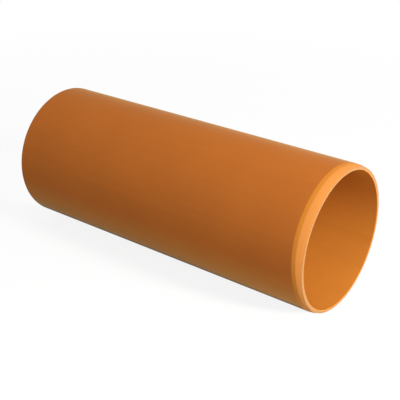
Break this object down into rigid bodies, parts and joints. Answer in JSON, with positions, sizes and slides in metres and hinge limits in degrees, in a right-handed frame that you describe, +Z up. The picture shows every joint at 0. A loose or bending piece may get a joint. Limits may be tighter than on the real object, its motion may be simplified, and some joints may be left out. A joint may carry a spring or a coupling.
{
  "type": "pvc drain pipe",
  "caption": "Plain-ended plastic drain pipe: a thin-walled round tube, sawn square at one end and chamfered at the other to push into a socket.",
  "frame": {"origin": "on the floor under the middle of the pipe, which lies on its side", "axes": "+X along the pipe's axis towards the chamfered spigot end, +Z up"},
  "size_m": [0.273, 0.11, 0.11],
  "materials": {
    "pvc_u": "satin, golden brown, extruded"
  },
  "bodies": {
    "root": {"drain_pipe": "pvc_u"}
  },
  "joints": []
}
